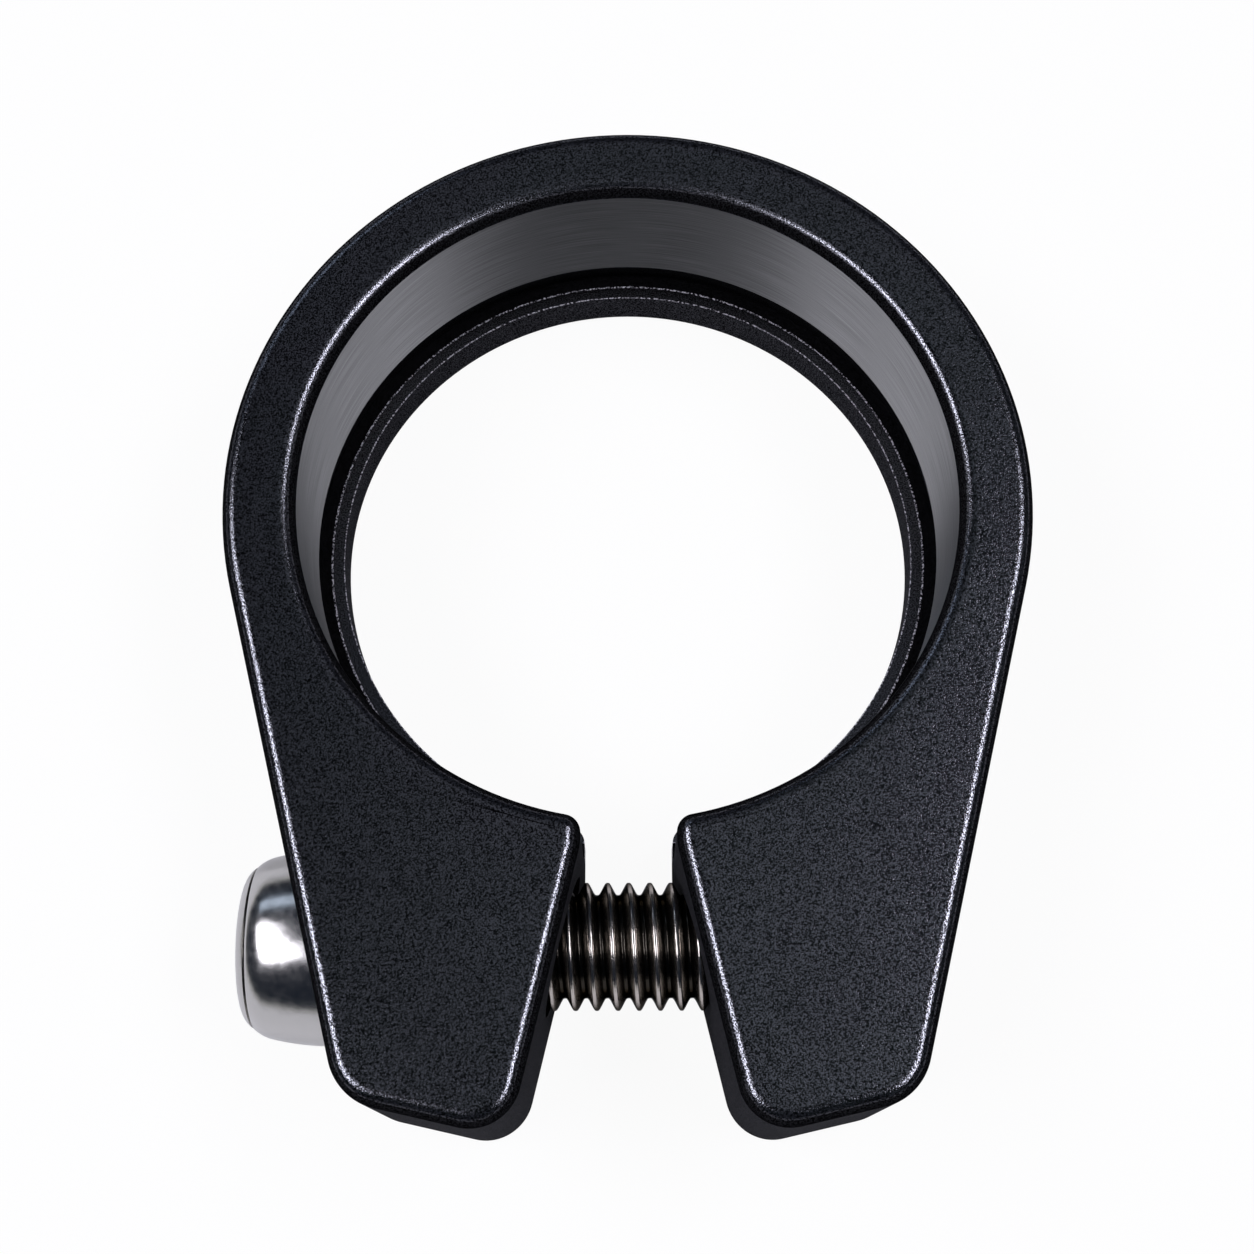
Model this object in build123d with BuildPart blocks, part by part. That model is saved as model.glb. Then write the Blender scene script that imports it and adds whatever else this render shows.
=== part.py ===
from math import cos, radians, sin, sqrt, tan
import os

from build123d import *

# Bicycle seatpost clamp: a split aluminium collar closed by one socket-head bolt across its two tapered ears.
# Millimetres. Z is the bore axis and z = 0 is the lip's shoulder, where the seat tube ends. The tube enters
# from +Z and the seatpost leaves to -Z. The ears point to -Y, and the bolt lies along X with its head at -X.

# Collar
bore_diameter = 31.8            # seat tube outside
bore_depth = 9.5                # shoulder up to the mouth face
lip_diameter = 29.5             # hole past the shoulder, clear of the seatpost
lip_thickness = 2.7
ring_wall = 3.5
edge_round = 0.75               # rounding of every mouth-face edge
lip_chamfer = 0.4               # chamfer of every lip-face edge
relief_width = 0.5              # undercut in the corner of bore and shoulder: how much shoulder it takes
relief_height = 1.36            # how much of the bore wall
relief_depth = 0.35             # and how far past the corner, along each

# Ears
flank_lean = 14.2               # degrees between a flank and the Y axis
gap_lean = 13.4                 # degrees between a gap wall and the Y axis
end_lean = 12.7                 # degrees between the end of an ear and the X axis
gap_width = 4.4                 # parallel throat of the gap, next to the bore
throat_length = 1.1             # bore wall to the end of the throat
ear_margin = 9.1                # bolt axis to the tips of the ears, before rounding
throat_land = 0.08              # corner between bore and throat, past the rounding of its edge
bend_round = 2.5                # where the throat opens into the flared gap
tip_round = 2.3                 # inner corner at the end of an ear
heel_round = 2.8                # outer corner at the end of an ear

# Bolt
bolt_offset = 2.0               # bore wall to the thread
bolt_diameter = 6.0             # major diameter of the thread
bolt_length = 25.0              # under the head
point_chamfer = 0.7
head_diameter = 9.2
head_length = 3.85              # bearing face to the step
bearing_chamfer = 0.2
crown_diameter = 8.54           # where the long curve of the head turns down to the step
crown_setback = 0.85            # that place, measured from the step
shoulder_diameter = 7.74        # head at the step
step_width = 0.14               # groove between head and rim
step_depth = 0.14
rim_diameter = 7.52             # rounded rim round the socket
rim_length = 0.5
rim_flat = 5.9                  # flat end inside the rounding
socket_flats = 4.0
socket_depth = 2.3
socket_chamfer = 0.25
drill_angle = 118.0             # cone under the socket

# Washer
washer_diameter = 9.2
washer_thickness = 0.7
washer_chamfer = 0.12

# Fits, all radial but the first
seat_depth = 0.45               # spot face below the lowest point of the flank that it meets
seat_clearance = 0.3            # spot face round the washer
plain_clearance = 0.3           # plain hole and washer round the bolt
tapped_clearance = 0.05         # tapped hole round the bolt's thread crests

# Derived sizes and places
bore_radius = bore_diameter / 2
lip_radius = lip_diameter / 2
ring_radius = bore_radius + ring_wall
bolt_radius = bolt_diameter / 2
plain_radius = bolt_radius + plain_clearance
bolt_reach = bore_radius + bolt_offset + bolt_radius
throat_reach = bore_radius + throat_length
throat_round = edge_round + throat_land
ear_reach = bolt_reach + ear_margin
seat_radius = washer_diameter / 2 + seat_clearance
flank = radians(flank_lean)
gap = radians(gap_lean)
end = radians(end_lean)


def flank_x(y):
    """Half width over the flanks, which are tangent to the ring."""
    return (ring_radius + y * sin(flank)) / cos(flank)


def gap_x(y):
    """Half width of the flared gap."""
    return gap_width / 2 + (-y - throat_reach) * tan(gap)


# The end of an ear leans back from the tip at the gap to the heel on the flank
tip_x = gap_x(-ear_reach)
tip = (tip_x, -ear_reach)
heel_x = flank_x(-ear_reach - tip_x * tan(end)) / (1 - tan(end) * tan(flank))
heel = (heel_x, -ear_reach + (heel_x - tip_x) * tan(end))
tangent = (ring_radius * cos(flank), -ring_radius * sin(flank))
beyond = -ear_reach - tip_round

# The bolt lies midway up the collar, and its seat clears the flank all round
bolt_height = (bore_depth - lip_thickness) / 2
seat_x = -flank_x(-bolt_reach - seat_radius) + seat_depth
bearing_x = seat_x - washer_thickness
step_x = -head_length
end_x = step_x - rim_length
bolt_axis = Axis((bearing_x, -bolt_reach, bolt_height), (1, 0, 0))


def mirrored(points):
    """The points on the right, then their mirror images from last to first."""
    return points + [(-x, y) for x, y in reversed(points)]


def collar_profile(hole_radius):
    """Ring and ears, split by the gap, round a hole of the given radius."""
    throat_end = (gap_width / 2, -throat_reach)
    mouth = (gap_width / 2, -sqrt(hole_radius**2 - (gap_width / 2) ** 2))
    rounded = {heel: heel_round, tip: tip_round, throat_end: bend_round, mouth: throat_round}
    with BuildSketch() as profile:
        Circle(ring_radius)
        with BuildLine():
            Polyline(mirrored([tangent, heel, tip]), close=True)
        make_face()
        Circle(hole_radius, mode=Mode.SUBTRACT)
        with BuildLine():
            Polyline(mirrored([(gap_width / 2, 0), throat_end, (gap_x(beyond), beyond)]), close=True)
        make_face(mode=Mode.SUBTRACT)
        for (x, y), radius in rounded.items():
            for side in (x, -x):
                fillet(profile.vertices().sort_by_distance((side, y))[0], radius)
    return profile.sketch


# Collar: bore level and lip level, then the edges, the undercut and the bolt's holes
bore_profile = collar_profile(bore_radius)
lip_profile = collar_profile(lip_radius)
with BuildPart() as collar:
    extrude(bore_profile, amount=bore_depth)
    extrude(lip_profile, amount=-lip_thickness)
    fillet(collar.faces().sort_by(Axis.Z)[-1].edges(), edge_round)
    chamfer(collar.faces().sort_by(Axis.Z)[0].edges(), lip_chamfer)
    with BuildSketch(Plane.XZ):
        with BuildLine():
            shoulder_edge = (bore_radius - relief_width, 0)
            apex = (bore_radius + relief_depth, -relief_depth)
            Polyline(shoulder_edge, apex, (bore_radius, relief_height), close=True)
        make_face()
    revolve(axis=Axis.Z, mode=Mode.SUBTRACT)
    with Locations(Plane(origin=(-ring_radius, -bolt_reach, bolt_height), z_dir=(-1, 0, 0))):
        CounterBoreHole(plain_radius, seat_radius, ring_radius + seat_x, depth=ring_radius)
    with Locations(Plane(origin=(ring_radius, -bolt_reach, bolt_height), z_dir=(1, 0, 0))):
        Hole(bolt_radius + tapped_clearance, depth=ring_radius)
collar.part.label = "collar"

# Washer: a thin ring between the spot face and the head
with BuildPart(Plane(origin=(seat_x, -bolt_reach, bolt_height), z_dir=(-1, 0, 0))) as head_washer:
    Cylinder(washer_diameter / 2, washer_thickness, align=(Align.CENTER, Align.CENTER, Align.MIN))
    Hole(plain_radius)
    chamfer(head_washer.edges().filter_by(GeomType.CIRCLE).group_by(SortBy.RADIUS)[-1], washer_chamfer)
head_washer.part.label = "head_washer"

# Bolt: one turned profile, measured along the axis from the bearing face, then the hexagon socket
with BuildPart() as clamp_bolt:
    with BuildSketch(Plane(origin=bolt_axis.position, x_dir=(1, 0, 0), z_dir=(0, 0, 1))):
        with BuildLine():
            crown_point = (step_x + crown_setback, crown_diameter / 2)
            crown = TangentArc((-bearing_chamfer, head_diameter / 2), crown_point, tangent=(-1, 0))
            brow = TangentArc(crown @ 1, (step_x + step_width / 2, shoulder_diameter / 2), tangent=crown % 1)
            rim_start = (step_x - step_width / 2, rim_diameter / 2)
            Polyline(brow @ 1, (step_x, rim_diameter / 2 - step_depth), rim_start)
            rim = TangentArc((end_x, rim_flat / 2), rim_start, tangent=(0, 1))
            Polyline(
                rim @ 0,
                (end_x, socket_flats / 2 + socket_chamfer / tan(radians(30))),
                (end_x + socket_chamfer, socket_flats / 2),
                (end_x + socket_chamfer, 0),
                (bolt_length, 0),
                (bolt_length, bolt_radius - point_chamfer),
                (bolt_length - point_chamfer, bolt_radius),
                (0, bolt_radius),
                (0, head_diameter / 2 - bearing_chamfer),
                crown @ 0,
            )
        make_face()
    revolve(axis=bolt_axis)
    with BuildSketch(Plane(origin=bolt_axis.position + (end_x, 0, 0), z_dir=(1, 0, 0))):
        RegularPolygon(socket_flats / 2, 6, major_radius=False)
    extrude(amount=socket_depth, mode=Mode.SUBTRACT)
    drill_length = socket_flats / 2 / tan(radians(drill_angle / 2))
    with Locations(Plane(origin=bolt_axis.position + (end_x + socket_depth, 0, 0), z_dir=(1, 0, 0))):
        Cone(socket_flats / 2, 0, drill_length, align=(Align.CENTER, Align.CENTER, Align.MIN), mode=Mode.SUBTRACT)
clamp_bolt.part.label = "clamp_bolt"

os.makedirs("parts", exist_ok=True)
export_step(collar.part, "parts/collar.step")
export_step(head_washer.part, "parts/head_washer.step")
export_step(clamp_bolt.part, "parts/clamp_bolt.step")
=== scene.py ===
from math import pi, radians

import bpy
import numpy as np
from mathutils import Matrix, Vector


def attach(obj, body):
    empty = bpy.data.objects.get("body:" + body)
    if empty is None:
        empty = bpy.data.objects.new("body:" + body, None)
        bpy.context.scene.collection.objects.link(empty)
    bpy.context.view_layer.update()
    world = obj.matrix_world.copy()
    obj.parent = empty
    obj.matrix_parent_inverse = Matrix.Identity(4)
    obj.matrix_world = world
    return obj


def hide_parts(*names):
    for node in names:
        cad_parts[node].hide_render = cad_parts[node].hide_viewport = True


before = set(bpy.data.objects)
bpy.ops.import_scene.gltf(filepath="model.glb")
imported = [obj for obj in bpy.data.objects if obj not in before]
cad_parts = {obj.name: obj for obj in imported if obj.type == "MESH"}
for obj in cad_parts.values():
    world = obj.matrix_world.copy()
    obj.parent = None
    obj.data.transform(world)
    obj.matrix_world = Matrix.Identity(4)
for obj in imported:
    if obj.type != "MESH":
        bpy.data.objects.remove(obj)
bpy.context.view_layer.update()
mm = 0.001
print("frame loaded:", ", ".join(sorted(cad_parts)))


# Helpers

def linear(hexColour):
    # sRGB hex to linear light, with alpha
    channels = [int(hexColour[i:i + 2], 16) / 255 for i in (1, 3, 5)]
    return [c / 12.92 if c <= 0.04045 else ((c + 0.055) / 1.055) ** 2.4 for c in channels] + [1.0]


def addNode(tree, kind, settings=None, **inputs):
    # one node: settings are its own properties, and inputs are values or output sockets, each by its name
    # or, as i0, i1 and so on, by its number
    node = tree.nodes.new(kind)
    for name, value in (settings or {}).items():
        setattr(node, name, value)
    for key, value in inputs.items():
        socket = node.inputs[int(key[1:])] if key[1:].isdigit() else node.inputs[key.replace("_", " ")]
        if isinstance(value, bpy.types.NodeSocket):
            tree.links.new(value, socket)
        else:
            socket.default_value = value
    return node.outputs


# settings that several nodes share
asProduct = {"operation": "MULTIPLY"}
asLarger = {"operation": "MAXIMUM"}
asNear = {"operation": "COMPARE"}
asLength = {"operation": "LENGTH"}
asMix = {"data_type": "RGBA"}
asTint = {"data_type": "RGBA", "blend_type": "MULTIPLY"}


def newMaterial(name):
    material = bpy.data.materials.new(name)
    material.use_nodes = True
    tree = material.node_tree
    tree.nodes.clear()
    return material, tree, tree.nodes.new("ShaderNodeOutputMaterial").inputs[0]


def gridMesh(name, points, closeRows=False, closeColumns=True):
    # points is rows x columns x 3 in millimetres; neighbours make quads, points that coincide become one, and
    # the sign of the volume (a sum of corner triple products) says whether the faces have to be turned
    rows, columns = points.shape[:2]
    index = np.arange(rows * columns).reshape(rows, columns)
    index = np.vstack([index, index[:1]]) if closeRows else index
    index = np.hstack([index, index[:, :1]]) if closeColumns else index
    quads = np.stack([index[:-1, :-1], index[1:, :-1], index[1:, 1:], index[:-1, 1:]], axis=-1).reshape(-1, 4)
    places = np.round(points.reshape(-1, 3), 6)
    _, first, same = np.unique(places, axis=0, return_index=True, return_inverse=True)
    vertices = points.reshape(-1, 3)[first]
    quads = same.reshape(-1)[quads]
    kept = quads != np.roll(quads, -1, axis=1)
    corners = kept.sum(axis=1)
    squares = quads[corners == 4]
    triangles = quads[corners == 3][kept[corners == 3]].reshape(-1, 3)
    halves = np.vstack([squares[:, :3], squares[:, [0, 2, 3]], triangles])
    a, b, c = (vertices[halves[:, i]] for i in range(3))
    if (a * np.cross(b, c)).sum() < 0:
        squares = squares[:, ::-1]
        triangles = triangles[:, ::-1]
    mesh = bpy.data.meshes.new(name)
    mesh.from_pydata((vertices * mm).tolist(), [], squares.tolist() + triangles.tolist())
    piece = bpy.data.objects.new(name, mesh)
    bpy.context.scene.collection.objects.link(piece)
    return piece


def aboutBolt(along, radius, angles, axisY, axisZ):
    # points at a radius and angle round the bolt's axis: y takes the cosine and z the sine
    return np.stack([along, axisY + radius * np.cos(angles), axisZ + radius * np.sin(angles)], axis=-1)


# Materials

def blastedBlackAluminium():
    # Aluminium, bead-blasted and anodised black. The skin is a soft near-black with a fine speckle that
    # breaks up every highlight. The two flat faces were lapped first and keep a gloss, and the walls are
    # dull. The walls and, darkest of all, the rounded edges between them are painted darker by how far they
    # lean from upright, as painted shade, and thin dotted rings on the lip's two edges are painted bright, as
    # a painted highlight.
    look = {
        "skin": "#75767b", "dent": "#1d1e20", "edgeHighlightColour": "#e4e2ea",
        "grain": 0.075 * mm, "grainDepth": 0.01 * mm,        # a bead's dent, drawn somewhat large to show
        "grainLevels": (0.40, 0.60),                         # noise from dent to skin
        # the first number of each finish darkens the skin as painted shade: a little on the walls, most on
        # the rounded edges
        "lapped": {"paintedShadeTone": 1.0, "metallic": 0.95, "roughness": 0.16},
        "edge": {"paintedShadeTone": 0.08, "metallic": 0.2, "roughness": 0.4},
        "wall": {"paintedShadeTone": 0.36, "metallic": 0.3, "roughness": 0.4},
        "wallToEdge": (0.02, 0.15), "edgeToLapped": (0.74, 0.86),      # by the upright share of the normal
        # painted highlight: thin bright dotted rings on the lip's two edges
        "lipEdges": ((15.4 * mm, 0.05 * mm), (14.77 * mm, 0.03 * mm)),     # radius and half width
        "lipEdgeHeight": 0.04 * mm, "highlightDotSize": 0.12 * mm, "highlightDotLevels": (0.42, 0.62), "edgeHighlightMetallic": 0.2,
        "grazing": (0.2, 0.2, 0.2, 1),                       # tint of what it mirrors at a low angle
    }
    material, tree, surface = newMaterial("black_anodised_aluminium_blasted")
    coordinates = addNode(tree, "ShaderNodeTexCoord")
    place = coordinates["Object"]
    grain = addNode(
        tree, "ShaderNodeTexNoise", Vector=place, Scale=1 / look["grain"], Detail=1.0, Roughness=0.6,
    )["Fac"]
    bump = addNode(tree, "ShaderNodeBump", Strength=1.0, Distance=look["grainDepth"], Height=grain)[0]
    low, high = look["grainLevels"]
    speckle = addNode(tree, "ShaderNodeMapRange", Value=grain, From_Min=low, From_Max=high)[0]
    skin = addNode(
        tree, "ShaderNodeMix", asMix, i0=speckle, i6=linear(look["dent"]), i7=linear(look["skin"]),
    )[2]

    # wall, rounded edge or lapped face, by how far the surface faces up or down; walls and rounded
    # edges are given painted shade, darker than the lapped faces
    facing = addNode(tree, "ShaderNodeSeparateXYZ", Vector=coordinates["Normal"])["Z"]
    level = addNode(tree, "ShaderNodeMath", {"operation": "ABSOLUTE"}, i0=facing)[0]
    finish = {}
    for key in ("paintedShadeTone", "metallic", "roughness"):
        low, high = look["edgeToLapped"]
        flatter = addNode(
            tree, "ShaderNodeMapRange", Value=level, From_Min=low, From_Max=high,
            To_Min=look["edge"][key], To_Max=look["lapped"][key],
        )[0]
        low, high = look["wallToEdge"]
        finish[key] = addNode(
            tree, "ShaderNodeMapRange", Value=level, From_Min=low, From_Max=high,
            To_Min=look["wall"][key], To_Max=flatter,
        )[0]
    # painted shade: the skin darkened on the walls and rounded edges
    skin = addNode(tree, "ShaderNodeMix", asTint, i0=1.0, i6=skin, i7=finish["paintedShadeTone"])[2]

    # painted highlight: the lip's two edges, as thin dotted rings of bright colour on its shoulder
    height = addNode(tree, "ShaderNodeSeparateXYZ", Vector=place)["Z"]
    flat = addNode(tree, "ShaderNodeVectorMath", asProduct, i0=place, i1=(1, 1, 0))[0]
    radius = addNode(tree, "ShaderNodeVectorMath", asLength, i0=flat)["Value"]
    onShoulder = addNode(tree, "ShaderNodeMath", asNear, i0=height, i1=0.0, i2=look["lipEdgeHeight"])[0]
    outerRing, innerRing = (
        addNode(tree, "ShaderNodeMath", asNear, i0=radius, i1=ringRadius, i2=halfWidth)[0]
        for ringRadius, halfWidth in look["lipEdges"]
    )
    rings = addNode(tree, "ShaderNodeMath", asLarger, i0=outerRing, i1=innerRing)[0]
    highlightRingMask = addNode(tree, "ShaderNodeMath", asProduct, i0=rings, i1=onShoulder)[0]
    noise = addNode(tree, "ShaderNodeTexNoise", Vector=place, Scale=1 / look["highlightDotSize"], Detail=1.0)["Fac"]
    low, high = look["highlightDotLevels"]
    highlightDotMask = addNode(tree, "ShaderNodeMapRange", Value=noise, From_Min=low, From_Max=high)[0]
    paintedHighlightMask = addNode(tree, "ShaderNodeMath", asProduct, i0=highlightRingMask, i1=highlightDotMask)[0]
    colour = addNode(tree, "ShaderNodeMix", asMix, i0=paintedHighlightMask, i6=skin, i7=linear(look["edgeHighlightColour"]))[2]
    metallic = addNode(
        tree, "ShaderNodeMapRange", Value=paintedHighlightMask, To_Min=finish["metallic"], To_Max=look["edgeHighlightMetallic"],
    )[0]
    shader = addNode(
        tree, "ShaderNodeBsdfPrincipled", Base_Color=colour, Metallic=metallic,
        Roughness=finish["roughness"], Normal=bump, Specular_IOR_Level=0.0, Specular_Tint=look["grazing"],
    )
    tree.links.new(shader[0], surface)
    return material


def turnedBlackAluminium():
    # Aluminium, turned and anodised black: a greyer satin than the blasted skin, with fine lines round the
    # bore that spread the light up and down it.
    look = {
        "skin": "#868786", "grazing": (0.3, 0.3, 0.3, 1), "boreRadius": 15.9 * mm,
        "lineHeight": 0.06 * mm, "lineLength": 5.0 * mm, "lineDepth": 0.005 * mm,
        "lineLevels": (0.3, 0.7), "lineTones": (0.6, 1.2),
        "glossTurn": 0.25,           # of a full turn, so that the gloss spreads across the lines
    }
    material, tree, surface = newMaterial("black_anodised_aluminium_turned")
    place = addNode(tree, "ShaderNodeTexCoord")["Object"]
    axes = addNode(tree, "ShaderNodeSeparateXYZ", Vector=place)
    # lines: noise on height and arc length, far longer round the bore than up it, with the seam in the gap
    angle = addNode(tree, "ShaderNodeMath", {"operation": "ARCTAN2"}, i0=axes["X"], i1=axes["Y"])[0]
    linesPerRadian = look["boreRadius"] / look["lineLength"]
    arc = addNode(tree, "ShaderNodeMath", asProduct, i0=angle, i1=linesPerRadian)[0]
    rise = addNode(tree, "ShaderNodeMath", {"operation": "DIVIDE"}, i0=axes["Z"], i1=look["lineHeight"])[0]
    sweep = addNode(tree, "ShaderNodeCombineXYZ", X=arc, Y=rise)[0]
    lines = addNode(tree, "ShaderNodeTexNoise", Vector=sweep, Scale=1.0, Detail=3.0, Roughness=0.6)["Fac"]
    bump = addNode(tree, "ShaderNodeBump", Strength=1.0, Distance=look["lineDepth"], Height=lines)[0]
    low, high = look["lineLevels"]
    dark, light = look["lineTones"]
    streaks = addNode(
        tree, "ShaderNodeMapRange", Value=lines, From_Min=low, From_Max=high, To_Min=dark, To_Max=light,
    )[0]
    colour = addNode(tree, "ShaderNodeMix", asTint, i0=1.0, i6=linear(look["skin"]), i7=streaks)[2]
    circling = addNode(tree, "ShaderNodeTangent", {"direction_type": "RADIAL", "axis": "Z"})[0]
    shader = addNode(
        tree, "ShaderNodeBsdfPrincipled", Base_Color=colour, Metallic=0.95, Roughness=0.56, Normal=bump,
        Specular_IOR_Level=0.0, Specular_Tint=look["grazing"],
        Anisotropic=1.0, Anisotropic_Rotation=look["glossTurn"], Tangent=circling,
    )
    tree.links.new(shader[0], surface)
    return material


def brightNickelSteel():
    # Steel, turned and nickel plated. The plating mirrors the room in soft bands that waver a little, and the
    # turning leaves a faint haze of lines round the head.
    look = {
        "plate": "#bab9b5", "line": 0.05 * mm, "stretch": 0.02, "lineDepth": 0.0006 * mm,
        "ripple": 0.36 * mm, "rippleDepth": 0.0034 * mm, "rippleLevels": (0.3, 0.7),
        "roughness": (0.16, 0.24),
    }
    material, tree, surface = newMaterial("nickel_plated_steel_turned")
    place = addNode(tree, "ShaderNodeTexCoord")["Object"]
    ripple = addNode(tree, "ShaderNodeTexNoise", Vector=place, Scale=1 / look["ripple"], Detail=2.0)["Fac"]
    waves = addNode(tree, "ShaderNodeBump", Strength=1.0, Distance=look["rippleDepth"], Height=ripple)[0]
    fine, drawn = 1 / look["line"], look["stretch"] / look["line"]
    along = addNode(tree, "ShaderNodeMapping", Vector=place, Scale=(fine, drawn, drawn))[0]
    lines = addNode(tree, "ShaderNodeTexNoise", Vector=along, Scale=1.0, Detail=2.0)["Fac"]
    bump = addNode(
        tree, "ShaderNodeBump", Strength=1.0, Distance=look["lineDepth"], Height=lines, Normal=waves,
    )[0]
    low, high = look["rippleLevels"]
    clear, hazy = look["roughness"]
    rough = addNode(
        tree, "ShaderNodeMapRange", Value=ripple, From_Min=low, From_Max=high, To_Min=clear, To_Max=hazy,
    )[0]
    shader = addNode(
        tree, "ShaderNodeBsdfPrincipled", Base_Color=linear(look["plate"]), Metallic=1.0,
        Roughness=rough, Normal=bump,
    )
    tree.links.new(shader[0], surface)
    return material


def threadSteelWithPaintedShade():
    # Steel, rolled thread. The colour runs from dark at the roots to light at the crests, as painted shade in
    # the roots and a painted glint on the crests, which makes each turn stand out.
    look = {
        # root is painted shade at the thread's roots, crest a painted glint at its crests
        "crest": "#bcb6ae", "root": "#37342f", "rootRadius": 2.43 * mm, "crestRadius": 2.82 * mm,
        "axis": (0, -20.9 * mm, 3.4 * mm),                   # a point on the bolt's axis
        "scuff": 0.1 * mm, "scuffDepth": 0.008 * mm, "scuffLevels": (0.3, 0.7), "roughness": (0.14, 0.26),
        "grazing": (0.1, 0.1, 0.1, 1),
    }
    material, tree, surface = newMaterial("steel_rolled_thread_painted_shade_and_glint")
    place = addNode(tree, "ShaderNodeTexCoord")["Object"]
    scuffs = addNode(tree, "ShaderNodeTexNoise", Vector=place, Scale=1 / look["scuff"], Detail=3.0)["Fac"]
    bump = addNode(tree, "ShaderNodeBump", Strength=1.0, Distance=look["scuffDepth"], Height=scuffs)[0]
    low, high = look["scuffLevels"]
    clear, hazy = look["roughness"]
    rough = addNode(
        tree, "ShaderNodeMapRange", Value=scuffs, From_Min=low, From_Max=high, To_Min=clear, To_Max=hazy,
    )[0]
    # painted shade in the roots and painted glint on the crests, by the distance from the bolt's axis
    offset = addNode(tree, "ShaderNodeVectorMath", {"operation": "SUBTRACT"}, i0=place, i1=look["axis"])[0]
    spoke = addNode(tree, "ShaderNodeVectorMath", asProduct, i0=offset, i1=(0, 1, 1))[0]
    radius = addNode(tree, "ShaderNodeVectorMath", asLength, i0=spoke)["Value"]
    rootShadeToCrestGlint = addNode(
        tree, "ShaderNodeMapRange", Value=radius, From_Min=look["rootRadius"], From_Max=look["crestRadius"],
    )[0]
    colour = addNode(
        tree, "ShaderNodeMix", asMix, i0=rootShadeToCrestGlint, i6=linear(look["root"]), i7=linear(look["crest"]),
    )[2]
    shader = addNode(
        tree, "ShaderNodeBsdfPrincipled", Base_Color=colour, Metallic=1.0, Roughness=rough, Normal=bump,
        Specular_Tint=look["grazing"],
    )
    tree.links.new(shader[0], surface)
    return material


def broachedSocketSteel():
    # Steel, a broached hexagon socket. Painted darker than the plating round it, as painted shade in the
    # hole, with scratches along the broach's stroke.
    look = {
        # a darker steel than the plating, as painted shade in the socket
        "steel": "#5a5753", "scratch": 0.08 * mm, "stretch": 0.05, "scratchDepth": 0.003 * mm,
        "grazing": (0.2, 0.2, 0.2, 1),
    }
    material, tree, surface = newMaterial("steel_broached_painted_shade")
    place = addNode(tree, "ShaderNodeTexCoord")["Object"]
    fine, drawn = 1 / look["scratch"], look["stretch"] / look["scratch"]
    strokes = addNode(tree, "ShaderNodeMapping", Vector=place, Scale=(drawn, fine, fine))[0]
    scratches = addNode(tree, "ShaderNodeTexNoise", Vector=strokes, Scale=1.0, Detail=2.0)["Fac"]
    bump = addNode(tree, "ShaderNodeBump", Strength=1.0, Distance=look["scratchDepth"], Height=scratches)[0]
    shader = addNode(
        tree, "ShaderNodeBsdfPrincipled", Base_Color=linear(look["steel"]), Metallic=1.0,
        Roughness=0.36, Normal=bump, Specular_Tint=look["grazing"],
    )
    tree.links.new(shader[0], surface)
    return material


def tumbledPlainSteel():
    # Steel, a stamped and tumbled washer: even satin with fine random scratches.
    look = {"steel": "#a8a8aa", "scratch": 0.1 * mm, "scratchDepth": 0.002 * mm}
    material, tree, surface = newMaterial("plain_steel_tumbled")
    place = addNode(tree, "ShaderNodeTexCoord")["Object"]
    scratches = addNode(
        tree, "ShaderNodeTexNoise", Vector=place, Scale=1 / look["scratch"], Detail=4.0, Distortion=0.6,
    )["Fac"]
    bump = addNode(tree, "ShaderNodeBump", Strength=1.0, Distance=look["scratchDepth"], Height=scratches)[0]
    shader = addNode(
        tree, "ShaderNodeBsdfPrincipled", Base_Color=linear(look["steel"]), Metallic=1.0,
        Roughness=0.32, Normal=bump,
    )
    tree.links.new(shader[0], surface)
    return material


faceFinish = blastedBlackAluminium()
boreFinish = turnedBlackAluminium()
headFinish = brightNickelSteel()
threadFinish = threadSteelWithPaintedShade()
socketFinish = broachedSocketSteel()
washerFinish = tumbledPlainSteel()
print("materials ready")


# Bolt: one grid round its axis, from the socket's drill point over the head and down the thread to the point

bolt = {
    "axisY": -20.9, "axisZ": 3.4, "bearingX": -13.733, "length": 25.0,
    "columns": 144,          # a multiple of 6, so that columns meet the socket's corners
    "headLength": 3.85, "bearingChamfer": 0.2, "headRadius": 4.6,
    "crownRadius": 4.27, "crownSetback": 0.85, "shoulderRadius": 3.87,
    "stepWidth": 0.14, "stepDepth": 0.14, "rimRadius": 3.76, "rimLength": 0.5, "rimFlat": 2.95,
    "rimRows": 9, "browRows": 9, "crownRows": 16,
    "socketFlats": 4.0, "socketDepth": 2.3, "socketChamfer": 0.25, "chamferLean": 30.0, "drillAngle": 118.0,
    "threadRadius": 3.0, "pitch": 1.0, "threadDepth": 0.58, "neck": 1.2, "runOut": 1.0,
    "crestFlat": 0.14, "rootFlat": 0.16, "straightShare": 0.65, "pointChamfer": 0.7, "rowsPerPitch": 20,
    "headMargin": 0.01,      # faces this close to the bearing face are still plated
    "sharpFrom": 50.0,       # degrees between faces
}


def tangentArc(start, heading, end, count):
    # the circle that leaves start along heading and passes end: its centre lies on the normal at start, at
    # the distance where start and end are equally far from it
    start, end, heading = (np.array(p, float) for p in (start, end, heading))
    heading = heading / np.linalg.norm(heading)
    normal = np.array([-heading[1], heading[0]])
    chord = end - start
    radius = chord @ chord / (2 * (chord @ normal))
    centre = start + radius * normal
    first, last = start - centre, end - centre
    turn = np.arctan2(first[0] * last[1] - first[1] * last[0], first @ last)
    angles = np.linspace(0, turn, count)
    cosine, sine = np.cos(angles), np.sin(angles)
    arc = np.stack([first[0] * cosine - first[1] * sine, first[0] * sine + first[1] * cosine], axis=1)
    return centre + arc, np.array([-last[1], last[0]]) * np.sign(radius)


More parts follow.
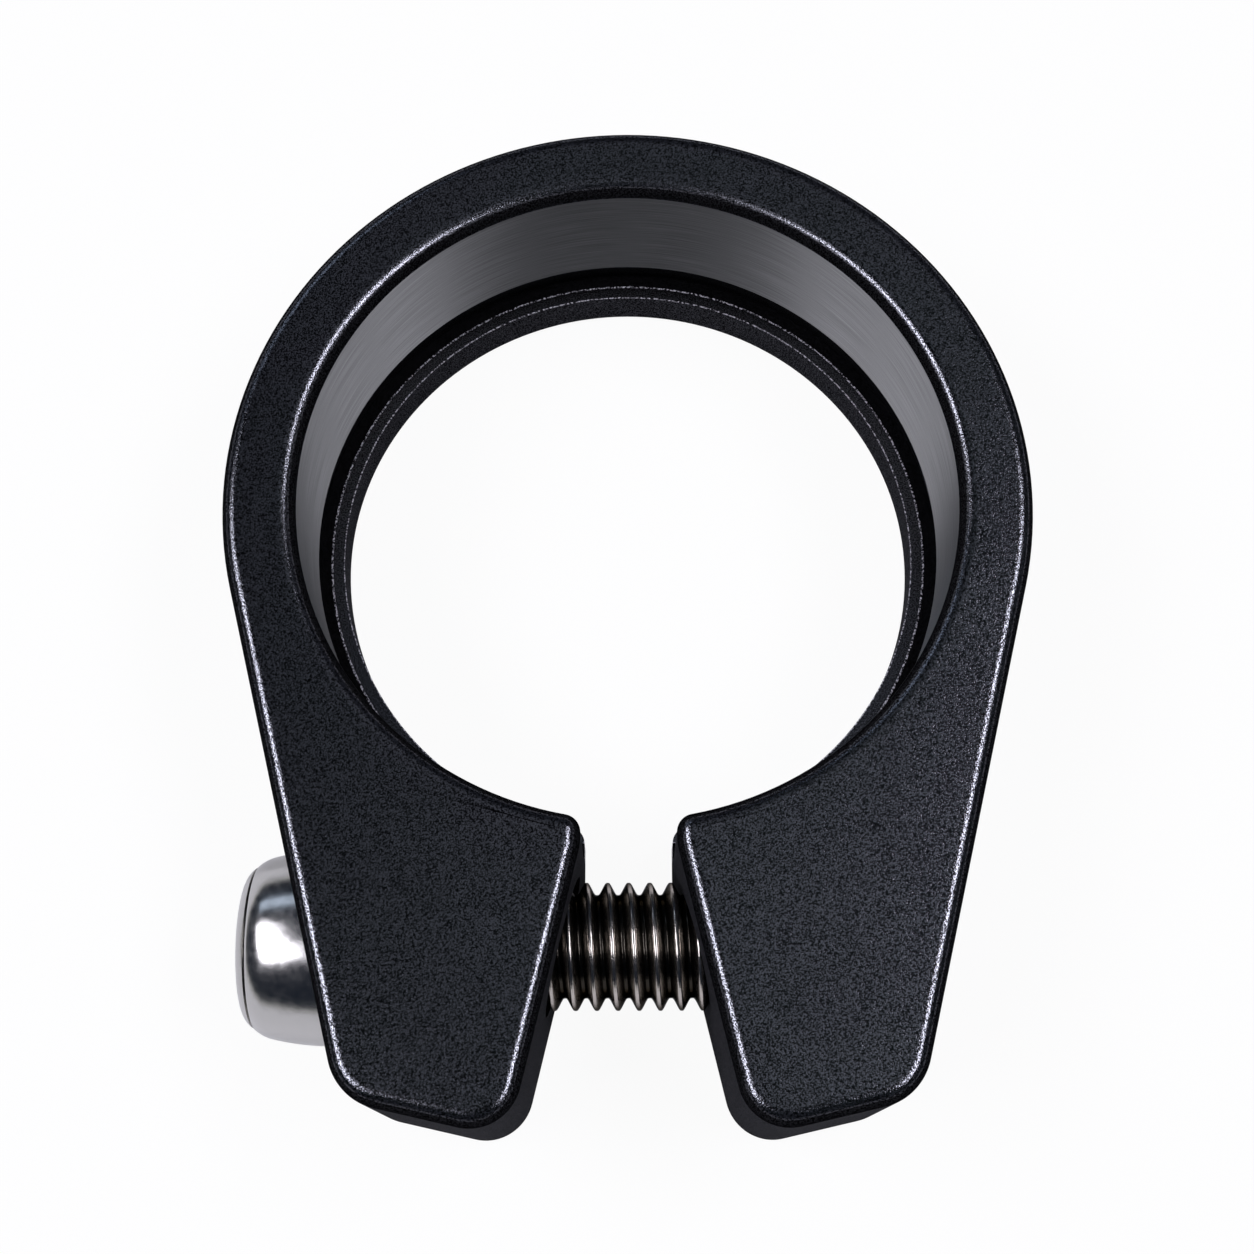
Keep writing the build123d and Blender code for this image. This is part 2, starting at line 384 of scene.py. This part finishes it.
def threadRadius(along, angles, settings):
    # radius at a distance from the bearing face and an angle: a truncated triangle wave of the distance less
    # the helix's advance, eased a little by a cosine and faded in after the plain neck
    phase = np.mod((along - settings["neck"]) / settings["pitch"] - angles / (2 * pi), 1.0)
    offCrest = np.abs(phase - 0.5) * 2
    slope = (offCrest - settings["crestFlat"]) / (1 - settings["crestFlat"] - settings["rootFlat"])
    valley = np.clip(slope, 0, 1)
    eased = 0.5 - 0.5 * np.cos(pi * valley)
    valley = settings["straightShare"] * valley + (1 - settings["straightShare"]) * eased
    fade = np.clip((along - settings["neck"]) / settings["runOut"], 0, 1)
    return settings["threadRadius"] - settings["threadDepth"] * valley * fade


def makeBolt(settings):
    step = -settings["headLength"]
    end = step - settings["rimLength"]
    length = settings["length"]
    angles = np.linspace(0, 2 * pi, settings["columns"], endpoint=False)
    ones = np.ones_like(angles)
    across = settings["socketFlats"] / 2
    sixth = pi / 3
    hexagon = across / np.cos(np.mod(angles + sixth / 2, sixth) - sixth / 2)     # socket wall's radius

    # socket: drilled cone, hexagon wall, and the chamfer, which meets the wall lower at its flats
    floor = end + settings["socketDepth"]
    tip = floor + across / np.tan(radians(settings["drillAngle"] / 2))
    lean = np.tan(radians(settings["chamferLean"]))
    mouth = across + settings["socketChamfer"] / lean
    lead = end + (mouth - hexagon) * lean
    socket = [
        (tip * ones, 0 * ones), (floor * ones, across * ones), (floor * ones, hexagon),
        ((floor + lead) / 2, hexagon), (lead, hexagon), (end * ones, mouth * ones),
    ]

    # head: rim, step groove, brow and crown as tangent arcs, then the bearing face
    rimStart = (step - settings["stepWidth"] / 2, settings["rimRadius"])
    rim, _ = tangentArc((end, settings["rimFlat"]), (0, 1), rimStart, settings["rimRows"])
    crownStart = (-settings["bearingChamfer"], settings["headRadius"])
    crownEnd = (step + settings["crownSetback"], settings["crownRadius"])
    crown, heading = tangentArc(crownStart, (-1, 0), crownEnd, settings["crownRows"])
    browEnd = (step + settings["stepWidth"] / 2, settings["shoulderRadius"])
    brow, _ = tangentArc(crownEnd, heading, browEnd, settings["browRows"])
    groove = [[step, settings["rimRadius"] - settings["stepDepth"]]]
    bearing = [[0, settings["headRadius"] - settings["bearingChamfer"]], [0, settings["threadRadius"]]]
    head = [(x * ones, r * ones) for x, r in np.vstack([rim, groove, brow[::-1], crown[-2::-1], bearing])]

    # thread: rows close enough that the helix shows no steps, cut by the cone of the point
    rows = int(length * settings["rowsPerPitch"] / settings["pitch"])
    shank = np.linspace(0, length, rows)[1:, None] * ones
    cone = settings["threadRadius"] - settings["pointChamfer"] + length - shank
    radius = np.minimum(threadRadius(shank, angles, settings), cone)
    along = np.vstack([[x for x, _ in socket + head], shank, length * ones[None]])
    radius = np.vstack([[r for _, r in socket + head], radius, 0 * ones[None]])
    points = aboutBolt(settings["bearingX"] + along, radius, angles, settings["axisY"], settings["axisZ"])
    piece = gridMesh("bolt_with_thread", points)

    # plated head, thread with its painted shade and glint, and socket painted darker as shade, by the places
    # of the faces
    mesh = piece.data
    centres = np.empty(len(mesh.polygons) * 3)
    mesh.polygons.foreach_get("center", centres)
    start = [[settings["bearingX"]], [settings["axisY"]], [settings["axisZ"]]]
    x, y, z = centres.reshape(-1, 3).T / mm - start
    threaded = x > settings["headMargin"]
    broached = (x > end + settings["socketChamfer"]) & (x < 0) & (np.hypot(y, z) < mouth)
    mesh.polygons.foreach_set("material_index", (threaded + 2 * broached).astype(np.int32))
    for finish in (headFinish, threadFinish, socketFinish):
        mesh.materials.append(finish)
    mesh.shade_smooth()
    mesh.set_sharp_from_angle(angle=radians(settings["sharpFrom"]))
    return piece


boltPiece = makeBolt(bolt)
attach(boltPiece, "bolt")
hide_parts("clamp_bolt")
print("bolt:", len(boltPiece.data.polygons), "faces")


# Collar: its outline carried round the section of ring and lip, then the bolt's holes cut through the ears

collar = {
    "top": 9.5, "bottom": -2.7, "ringRadius": 19.4, "boreRadius": 15.9, "lipRadius": 14.75,
    "edgeRound": 0.75, "roundSteps": 12, "lipChamfer": 0.4,
    "support": 0.04,         # flat rows this close to the rounding keep its shading off the faces
    "flankLean": 14.2, "gapHalf": 2.2, "throatEnd": -17.0, "tip": (5.297, -30.0), "heel": (12.851, -28.298),
    "heelRound": 2.8, "tipRound": 2.3, "bendRound": 2.5, "throatRound": 0.83,
    "grooveEdge": 15.4, "grooveDeep": 16.25, "grooveLow": -0.35, "grooveHigh": 1.36,
    "wallRows": (0.0, -0.1, -0.35, -0.5, -0.6),
    "seatX": -13.033, "seatRadius": 4.9, "plainRadius": 3.3, "tapClearance": 0.05, "holeColumns": 96,
    "tapStart": 0.2, "holePast": 5.0,              # the tapped hole's start, and how far both pass the ring
    "turnedMargin": 0.02, "uprightLimit": 0.05,    # how far a face of the bore wall may be off and lean
    "sharpFrom": 11.0,                             # degrees between faces
    # columns on each stretch of half the outline, outside and inside with the same sum
    "outside": {"end": 4, "heel": 18, "flank": 70, "ring": 52},
    "inside": {"end": 4, "tip": 18, "gap": 24, "bend": 4, "throat": 2, "corner": 12, "bore": 80},
}


def straight(start, end, side, count):
    # x, y and outward normal of points on a line, its first point left out; side 1 has the normal on the
    # right, side -1 on the left
    start, end = np.array(start), np.array(end)
    way = (end - start) / np.linalg.norm(end - start)
    steps = np.linspace(0, 1, count + 1)[1:, None]
    return np.hstack([start + steps * (end - start), np.tile([side * way[1], -side * way[0]], (count, 1))])


def bend(centre, radius, first, last, count, hollow=False):
    # the same on an arc between two angles in radians; the normal leaves the centre, or faces it in a hollow
    angles = np.linspace(first, last, count + 1)[1:, None]
    spokes = np.hstack([np.cos(angles), np.sin(angles)])
    return np.hstack([np.array(centre) + radius * spokes, -spokes if hollow else spokes])


def roundedRun(stops, rounds, counts, side):
    # lines between stops, with each stop between the ends rounded by an arc that touches both of its lines
    # at the radius times the tangent of half the turn; counts go line, arc, line and so on
    stops = [np.array(stop, float) for stop in stops]
    parts, here = [], stops[0]
    for i, radius in enumerate(rounds):
        before, after = stops[i + 1] - stops[i], stops[i + 2] - stops[i + 1]
        before, after = before / np.linalg.norm(before), after / np.linalg.norm(after)
        turn = np.arctan2(before[0] * after[1] - before[1] * after[0], before @ after)
        reach = radius * np.tan(abs(turn) / 2)
        touch = stops[i + 1] - reach * before
        inward = np.sign(turn) * np.array([-before[1], before[0]])
        first = np.arctan2(-inward[1], -inward[0])
        parts.append(straight(here, touch, side, counts[2 * i]))
        parts.append(bend(touch + radius * inward, radius, first, first + turn, counts[2 * i + 1]))
        here = stops[i + 1] + reach * after
    parts.append(straight(here, stops[-1], side, counts[-1]))
    return np.vstack(parts)


def outsideHalf(settings):
    # right half of the outer outline, from the middle of the ear's end over the heel and flank, which is
    # tangent to the ring, to the ring's top
    lean = radians(settings["flankLean"])
    middle = (np.array(settings["tip"]) + settings["heel"]) / 2
    tangent = settings["ringRadius"] * np.array([np.cos(lean), -np.sin(lean)])
    n = settings["outside"]
    stops = [middle, settings["heel"], tangent]
    counts = [n["end"], n["heel"], n["flank"]]
    run = roundedRun(stops, [settings["heelRound"]], counts, 1)
    ring = bend((0, 0), settings["ringRadius"], -lean, pi / 2, n["ring"])
    return np.vstack([np.hstack([middle, run[0, 2:]]), run, ring])


def insideHalf(settings, holeRadius):
    # right half of the inner outline: tip, gap wall, throat, rounded corner and hole. The corner's centre is
    # its radius away from both the throat and the hole
    middle = (np.array(settings["tip"]) + settings["heel"]) / 2
    gap, small = settings["gapHalf"], settings["throatRound"]
    centre = np.array([gap + small, -np.sqrt((holeRadius + small) ** 2 - (gap + small) ** 2)])
    meets = np.arctan2(-centre[1], -centre[0])
    n = settings["inside"]
    stops = [middle, settings["tip"], (gap, settings["throatEnd"]), (gap, centre[1])]
    counts = [n["end"], n["tip"], n["gap"], n["bend"], n["throat"]]
    run = roundedRun(stops, [settings["tipRound"], settings["bendRound"]], counts, -1)
    corner = bend(centre, small, pi, meets, n["corner"])
    hole = bend((0, 0), holeRadius, meets - pi, pi / 2, n["bore"], hollow=True)
    return np.vstack([np.hstack([middle, run[0, 2:]]), run, corner, hole])


def grooveRows(inner, lip, settings):
    # five rows from the bore wall round the V undercut to the top of the lip, for half the outline. Past the
    # hole's rounded corner the undercut runs out, and the rows become heights on the plain gap wall
    n = settings["inside"]
    throat = n["end"] + n["tip"] + n["gap"] + n["bend"]
    corner = throat + n["throat"]
    deep, edge, low, high = (settings[key] for key in ("grooveDeep", "grooveEdge", "grooveLow", "grooveHigh"))
    reach = np.linalg.norm(inner[:, :2], axis=1)
    lipReach = np.linalg.norm(lip[:, :2], axis=1)
    slope = (high - low) / (deep - settings["boreRadius"])
    level = deep + low / slope                     # where the groove's upper face crosses the shoulder
    wallEnd = np.clip(high - (reach - settings["boreRadius"]) * slope, 0, high)
    shoulder = np.zeros_like(reach)
    rows = [
        (inner[:, :2], wallEnd),
        (inner[:, :2] * (np.minimum(reach, level) / reach)[:, None], wallEnd),
        (inner[:, :2] * (deep / reach)[:, None], shoulder + low),
        (lip[:, :2] * (np.maximum(edge, lipReach) / lipReach)[:, None], shoulder),
        (lip[:, :2], shoulder),
    ]
    column = np.arange(len(inner))[:, None]
    atCorner = column < corner + n["corner"]
    share = np.clip((column - throat) / n["throat"], 0, 1)       # 0 at the gap wall, 1 at the rounded corner
    result = []
    for (place, height), wallHeight in zip(rows, settings["wallRows"]):
        cut = np.column_stack([place, height])
        cut[:, :1] = np.where(atCorner, np.maximum(cut[:, :1], settings["gapHalf"]), cut[:, :1])
        plain = np.column_stack([inner[:, :2], np.full(len(inner), wallHeight)])
        between = share * cut[corner] + (1 - share) * plain[throat]
        result.append(np.where(column <= throat, plain, np.where(column < corner, between, cut)))
    return result


def boltHoles(settings, thread):
    # two cutters round the bolt's axis: spot face and plain hole from the left, and the bolt's own thread
    # with some clearance from the right
    angles = np.linspace(0, 2 * pi, settings["holeColumns"], endpoint=False)
    spread = 0 * angles
    far = settings["ringRadius"] + settings["holePast"]
    seatX, seat, plain = settings["seatX"], settings["seatRadius"], settings["plainRadius"]
    profile = np.array([[-far, 0], [-far, seat], [seatX, seat], [seatX, plain], [0, plain], [0, 0]])
    along, radius = profile[:, :1] + spread, profile[:, 1:] + spread
    left = aboutBolt(along, radius, angles, thread["axisY"], thread["axisZ"])
    rows = int(far * thread["rowsPerPitch"] / thread["pitch"])
    along = np.linspace(settings["tapStart"], far, rows)[:, None] + spread
    radius = threadRadius(along - thread["bearingX"], angles, thread) + settings["tapClearance"]
    along, radius = (np.vstack([a[:1], a, a[-1:]]) for a in (along, radius))
    radius[[0, -1]] = 0
    right = aboutBolt(along, radius, angles, thread["axisY"], thread["axisZ"])
    return [gridMesh("left_hole", left), gridMesh("right_hole", right)]


def makeCollar(settings, thread):
    top, bottom, curve, chamfer = (settings[key] for key in ("top", "bottom", "edgeRound", "lipChamfer"))
    support = settings["support"]
    outer = outsideHalf(settings)
    inner = insideHalf(settings, settings["boreRadius"])
    lip = insideHalf(settings, settings["lipRadius"])
    groove = grooveRows(inner, lip, settings)

    # section as insets into the metal and heights: up the outside, over the mouth face, down to the groove
    tilt = np.linspace(0, pi / 2, settings["roundSteps"] + 1)
    rounding = list(zip(curve * (1 - np.cos(tilt)), top - curve + curve * np.sin(tilt)))
    outside = [(chamfer, bottom), (0, bottom + chamfer)] + [(0, z) for z in settings["wallRows"][::-1]]
    outside += [(0, top - curve - support)] + rounding + [(curve + support, top)]
    mouth = [(curve + support, top)] + rounding[::-1] + [(0, top - curve - support)]
    lipSide = [(0, bottom + chamfer), (chamfer, bottom)]
    rows = []
    for path, steps, ready in ((outer, outside, []), (inner, mouth, groove), (lip, lipSide, [])):
        for inset, z in steps:
            rows.append(np.column_stack([path[:, :2] - inset * path[:, 2:], np.full(len(path), z)]))
        rows += ready
    half = np.array(rows)
    points = np.concatenate([half, half[:, -2::-1] * [-1, 1, 1]], axis=1)       # and its mirror image
    piece = gridMesh("collar_body", points, closeRows=True, closeColumns=False)

    # the holes, cut for good
    for cutter in boltHoles(settings, thread):
        cut = piece.modifiers.new(cutter.name, "BOOLEAN")
        cut.operation = "DIFFERENCE"
        cut.solver = "EXACT"
        cut.object = cutter
    solid = piece.data
    piece.data = bpy.data.meshes.new_from_object(piece.evaluated_get(bpy.context.evaluated_depsgraph_get()))
    for cut in list(piece.modifiers):
        bpy.data.objects.remove(cut.object)
    piece.modifiers.clear()
    bpy.data.meshes.remove(solid)
    mesh = piece.data
    mesh.materials.clear()
    mesh.materials.append(faceFinish)
    mesh.materials.append(boreFinish)

    # the upright wall of the bore was turned last
    centres, normals = (np.empty(len(mesh.polygons) * 3) for _ in range(2))
    mesh.polygons.foreach_get("center", centres)
    mesh.polygons.foreach_get("normal", normals)
    centres, normals = centres.reshape(-1, 3) / mm, normals.reshape(-1, 3)
    reach = np.hypot(centres[:, 0], centres[:, 1])
    onWall = (reach > settings["grooveEdge"]) & (reach < settings["boreRadius"] + settings["turnedMargin"])
    turned = onWall & (np.abs(normals[:, 2]) < settings["uprightLimit"])
    mesh.polygons.foreach_set("material_index", turned.astype(np.int32))
    mesh.shade_smooth()
    mesh.set_sharp_from_angle(angle=radians(settings["sharpFrom"]))
    return piece


collarPiece = makeCollar(collar, bolt)
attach(collarPiece, "collar")
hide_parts("collar")
print("collar:", len(collarPiece.data.polygons), "faces")

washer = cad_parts["head_washer"].data      # the solid as it is
washer.materials.clear()
washer.materials.append(washerFinish)


# Stage: pale floor, dim room, soft boxes

studio = {
    "floorHalf": 2000.0, "floorColour": "#f4f4f4", "floorGlow": 0.94, "mirroredGlow": 0.1,
    "roomColour": "#111c2c", "horizonColour": "#e6e6e8", "horizonTop": 0.12, "roomStrength": 1.0,
    "backdropColour": "#f8f8f8", "mirroredBackdrop": 0.0127,
    # name: place, axis of its long side, size along and across it, watts, colour; each lamp faces the clamp
    "lamps": {
        "left_box": ((-0.34, -0.03, 0.45), (-0.42, 0.9, 0), (0.42, 0.18), 2.15, "#f5f3ff"),
        "right_box": ((0.28, -0.01, 0.47), (0, 1, 0), (0.38, 0.135), 1.60, "#f5f3ff"),
        "left_fill": ((-0.18, -0.13, 0.52), (0, 1, 0), (0.20, 0.17), 0.11, "#f5f3ff"),
        "right_fill": ((0.21, 0.00, 0.52), (0, 1, 0), (0.40, 0.07), 0.04, "#f5f3ff"),
        "ceiling_panel": ((0.06, 0.18, 0.58), (1, 0, 0), (0.32, 0.48), 0.07, "#f0f4ff"),
        "zenith_box": ((0.09, 0.05, 0.60), (1, 0, 0), (0.14, 0.14), 0.014, "#f0f4ff"),
        "back_box": ((-0.33, 0.44, 0.36), (1, 0, 0), (0.30, 0.14), 0.16, "#d6e6ff"),
    },
}


def makeFloor(settings, base):
    # the camera sees it nearly white, mirrors see some of that glow, and the rest is paint with the shadow
    sides = np.array([-settings["floorHalf"], settings["floorHalf"]])
    points = np.stack(np.broadcast_arrays(sides[None, :], sides[:, None], np.float64(base)), axis=-1)
    floor = gridMesh("floor", points, closeColumns=False)
    material, tree, surface = newMaterial("pale_floor")
    path = addNode(tree, "ShaderNodeLightPath")
    mirror = addNode(
        tree, "ShaderNodeMath", asLarger, i0=path["Is Glossy Ray"], i1=path["Is Transmission Ray"],
    )[0]
    mirrored = addNode(tree, "ShaderNodeMath", asProduct, i0=mirror, i1=settings["mirroredGlow"])[0]
    seen = addNode(tree, "ShaderNodeMath", asProduct, i0=path["Is Camera Ray"], i1=settings["floorGlow"])[0]
    share = addNode(tree, "ShaderNodeMath", asLarger, i0=seen, i1=mirrored)[0]
    paint = addNode(tree, "ShaderNodeBsdfDiffuse", Color=linear(settings["floorColour"]))[0]
    glow = addNode(tree, "ShaderNodeEmission", Color=(1, 1, 1, 1), Strength=1.0)[0]
    tree.links.new(addNode(tree, "ShaderNodeMixShader", i0=share, i1=paint, i2=glow)[0], surface)
    floor.data.materials.append(material)


def makeLamps(settings):
    for name, (place, along, size, watts, colour) in settings["lamps"].items():
        lamp = bpy.data.lights.new(name, "AREA")
        lamp.shape = "RECTANGLE"
        lamp.size, lamp.size_y = size
        lamp.energy = watts
        lamp.color = linear(colour)[:3]
        holder = bpy.data.objects.new(name, lamp)
        back = Vector(place).normalized()
        across = back.cross(Vector(along)).normalized()
        turn = Matrix((across.cross(back), across, back)).transposed().to_4x4()
        holder.matrix_world = Matrix.Translation(place) @ turn
        bpy.context.scene.collection.objects.link(holder)


def makeRoom(settings):
    # dim above a pale horizon; the camera sees a pale backdrop all round, and mirrors see it dimly
    world = bpy.data.worlds.new("dim_room")
    world.use_nodes = True
    tree = world.node_tree
    direction = addNode(tree, "ShaderNodeTexCoord")["Generated"]
    height = addNode(tree, "ShaderNodeSeparateXYZ", Vector=direction)["Z"]
    smooth = {"interpolation_type": "SMOOTHSTEP"}
    share = addNode(tree, "ShaderNodeMapRange", smooth, Value=height, From_Max=settings["horizonTop"])[0]
    horizon, above = linear(settings["horizonColour"]), linear(settings["roomColour"])
    room = addNode(tree, "ShaderNodeMix", asMix, i0=share, i6=horizon, i7=above)[2]
    path = addNode(tree, "ShaderNodeLightPath")
    mirror = addNode(
        tree, "ShaderNodeMath", asLarger, i0=path["Is Glossy Ray"], i1=path["Is Transmission Ray"],
    )[0]
    mirrored = addNode(tree, "ShaderNodeMath", asProduct, i0=mirror, i1=settings["mirroredBackdrop"])[0]
    seen = addNode(tree, "ShaderNodeMath", asLarger, i0=path["Is Camera Ray"], i1=mirrored)[0]
    backdrop = linear(settings["backdropColour"])
    colour = addNode(tree, "ShaderNodeMix", asMix, i0=seen, i6=room, i7=backdrop)[2]
    background = tree.nodes["Background"].inputs
    tree.links.new(colour, background["Color"])
    background["Strength"].default_value = settings["roomStrength"]
    bpy.context.scene.world = world


makeFloor(studio, collar["bottom"])
makeLamps(studio)
makeRoom(studio)
print("stage ready")


# Camera: fitted to the bore's edges and the outline in a square picture

camera = {
    "imageSize": 1254, "focalPixels": 1978.3, "sensor": 36.0, "clipStart": 5.0,
    "place": (-0.047, -34.08, 97.58), "tilt": 17.14, "roll": 0.17,
}


def makeCamera(settings):
    lens = bpy.data.cameras.new("camera")
    lens.sensor_width = settings["sensor"]
    lens.lens = settings["sensor"] * settings["focalPixels"] / settings["imageSize"]
    lens.clip_start = settings["clipStart"] * mm
    holder = bpy.data.objects.new("camera", lens)
    tilt = Matrix.Rotation(radians(settings["tilt"]), 4, "X")
    roll = Matrix.Rotation(radians(-settings["roll"]), 4, "Z")
    holder.matrix_world = Matrix.Translation(Vector(settings["place"]) * mm) @ tilt @ roll
    bpy.context.scene.collection.objects.link(holder)
    bpy.context.scene.camera = holder


makeCamera(camera)
bpy.context.scene.view_settings.view_transform = "Standard"
print("camera ready")
